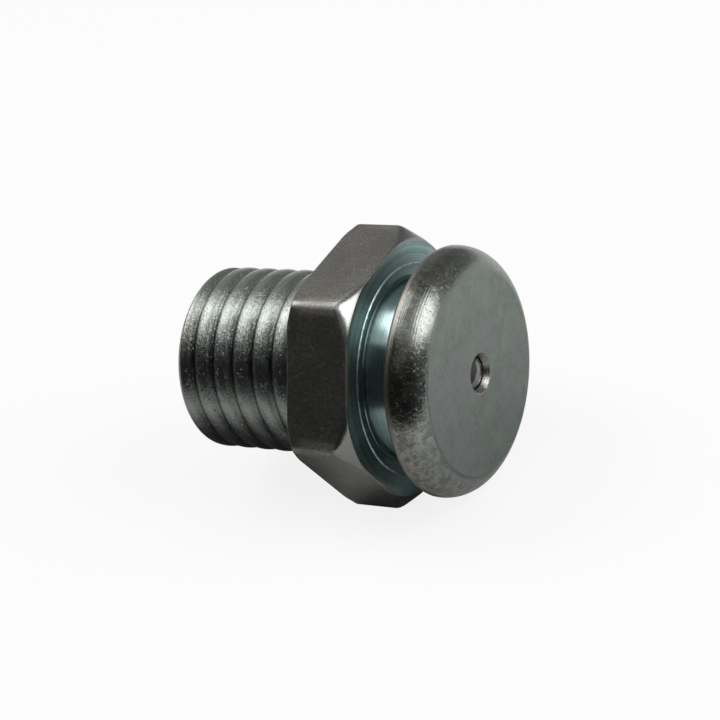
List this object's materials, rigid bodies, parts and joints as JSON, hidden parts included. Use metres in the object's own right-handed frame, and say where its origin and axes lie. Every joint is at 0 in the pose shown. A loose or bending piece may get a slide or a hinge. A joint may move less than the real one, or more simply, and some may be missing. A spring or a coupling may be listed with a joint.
{
  "type": "grease nipple",
  "caption": "Button-head grease nipple: threaded shank, hexagon, necked flat round head, centre inlet closed by a spring-loaded ball.",
  "frame": {"origin": "on the nipple's axis, in the plane of the hexagon's rear face, which seats on the machine", "axes": "+X along the axis towards the button head, the shank points to -X; two flats of the hexagon face +Z and -Z, and the nipple lies on the lower one"},
  "size_m": [0.0193, 0.0182, 0.016],
  "materials": {
    "zinc_plated_steel": "zinc plated, satin",
    "ball_steel": "hardened, polished",
    "spring_steel": "drawn wire"
  },
  "bodies": {
    "body": {"nipple_body": "zinc_plated_steel", "ball_spring": "spring_steel"},
    "ball": {"check_ball": "ball_steel"}
  },
  "joints": [
    {"name": "valve_open", "type": "slide", "parent": "body", "child": "ball", "axis": [-1, 0, 0], "range_m": [0, 0.0012], "stiffness_N_per_m": 25, "springref_m": -0.0002, "deforming": ["ball_spring"]}
  ]
}
